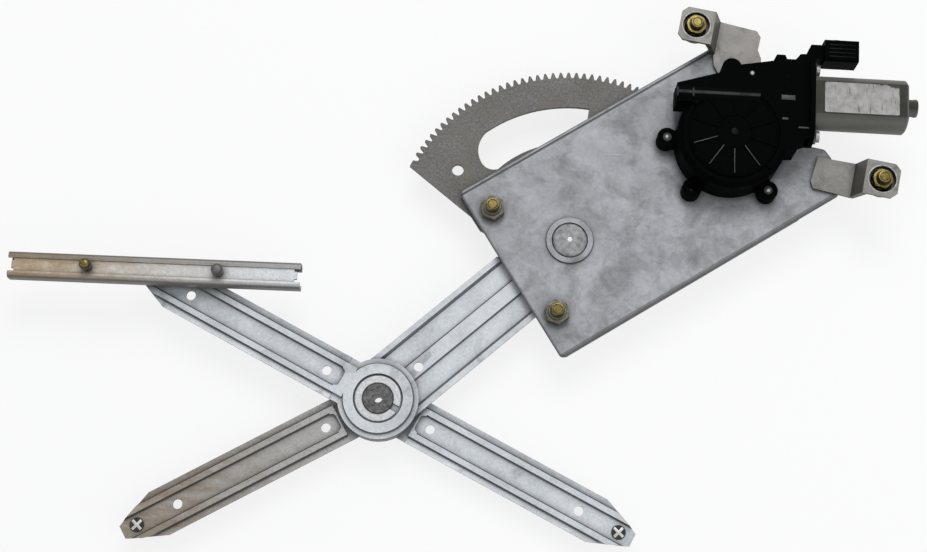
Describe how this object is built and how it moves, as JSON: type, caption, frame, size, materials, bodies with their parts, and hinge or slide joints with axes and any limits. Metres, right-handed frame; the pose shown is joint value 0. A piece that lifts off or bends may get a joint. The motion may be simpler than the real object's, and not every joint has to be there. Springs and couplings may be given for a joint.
{
  "type": "cross-arm window regulator",
  "caption": "Cross-arm window regulator: sector gear and lift arms on a base plate, driven by a worm-gear motor, with a guide rail.",
  "frame": {"origin": "midway between the base plate's two studs, on the face that meets the door panel", "axes": "+Z out of the base plate's mounting face, +X along the door, from the guide rail towards the motor"},
  "size_m": [0.5328, 0.318, 0.0575],
  "materials": {
    "zinc_plate": "zinc plated, matt",
    "zinc_arm": "zinc plated, matt",
    "zinc_rail": "zinc plated, matt",
    "dark_steel": "oiled steel",
    "bright_steel": "bright zinc",
    "can_steel": "drawn steel, satin",
    "yellow_zinc": "yellow zinc plated",
    "black_plastic": "glass-filled nylon",
    "nylon": "natural nylon",
    "rubber": "moulded rubber",
    "magnet": "ferrite",
    "carbon": "pressed carbon",
    "bronze": "sintered bronze",
    "terminal_brass": "bare metal"
  },
  "bodies": {
    "base": {"base_plate": "zinc_plate", "upper_bracket": "zinc_plate", "right_bracket": "zinc_plate", "plate_studs": "yellow_zinc", "plate_nuts": "yellow_zinc", "bracket_studs": "yellow_zinc", "bracket_nuts": "yellow_zinc", "main_pivot": "bright_steel", "gearbox_housing": "black_plastic", "gearbox_cover": "black_plastic", "mounting_screws": "bright_steel", "motor_screws": "bright_steel", "motor_can": "can_steel", "can_magnets": "magnet", "rear_bearing": "bronze", "brush_holder": "black_plastic", "brushes": "carbon", "connector": "black_plastic", "connector_terminals": "terminal_brass"},
    "main_arm": {"sector_gear": "dark_steel", "main_arm_upper": "zinc_arm", "main_arm_lower": "zinc_arm", "sector_rivets": "bright_steel", "hub_rivets": "bright_steel", "main_slide_stud": "bright_steel"},
    "cross_arm": {"cross_arm_upper": "zinc_arm", "cross_arm_lower": "zinc_arm", "centre_pivot": "dark_steel", "retaining_ring": "bright_steel", "pivot_washers": "nylon", "cross_slide_stud": "bright_steel", "cross_rail_stud": "bright_steel"},
    "shoe": {"rail_shoe": "nylon"},
    "rail": {"guide_rail": "zinc_rail", "rail_stud_left": "yellow_zinc", "rail_stud_right": "bright_steel"},
    "drive": {"output_pinion": "dark_steel", "worm_wheel": "nylon", "damper": "rubber", "drive_plate": "dark_steel"},
    "armature": {"armature_shaft": "bright_steel", "armature_core": "dark_steel", "commutator": "terminal_brass"}
  },
  "joints": [
    {"name": "main_pivot", "type": "hinge", "parent": "base", "child": "main_arm", "pos_m": [0.02683, 0.01279, -0.0075], "axis": [0, 0, -1], "range_deg": [0, 80]},
    {"name": "cross_pivot", "type": "hinge", "parent": "main_arm", "child": "cross_arm", "pos_m": [-0.08534, -0.08067, -0.01], "axis": [0, 0, -1], "range_deg": [-156, 0]},
    {"name": "rail_swivel", "type": "hinge", "parent": "cross_arm", "child": "shoe", "pos_m": [-0.21846, -0.00688, 0.004], "axis": [0, 0, -1], "range_deg": [0, 76]},
    {"name": "rail_slide", "type": "slide", "parent": "shoe", "child": "rail", "axis": [0.9991, -0.0419, 0], "range_m": [-0.06, 0.06]},
    {"name": "output_spin", "type": "hinge", "parent": "base", "child": "drive", "pos_m": [0.12201, 0.07135, 0], "axis": [0, 0, -1], "range_deg": [-1245, 1]},
    {"name": "worm_spin", "type": "hinge", "parent": "base", "child": "armature", "pos_m": [0.12329, 0.09431, 0.018], "axis": [0.9984, -0.0558, 0], "range_deg": [-1, 75915]}
  ],
  "couplings": [
    {"joint": "cross_pivot", "follows": "main_pivot", "ratio": -1.95},
    {"joint": "rail_swivel", "follows": "main_pivot", "ratio": 0.95},
    {"joint": "output_spin", "follows": "main_pivot", "ratio": -15.556},
    {"joint": "worm_spin", "follows": "main_pivot", "ratio": 948.89}
  ]
}
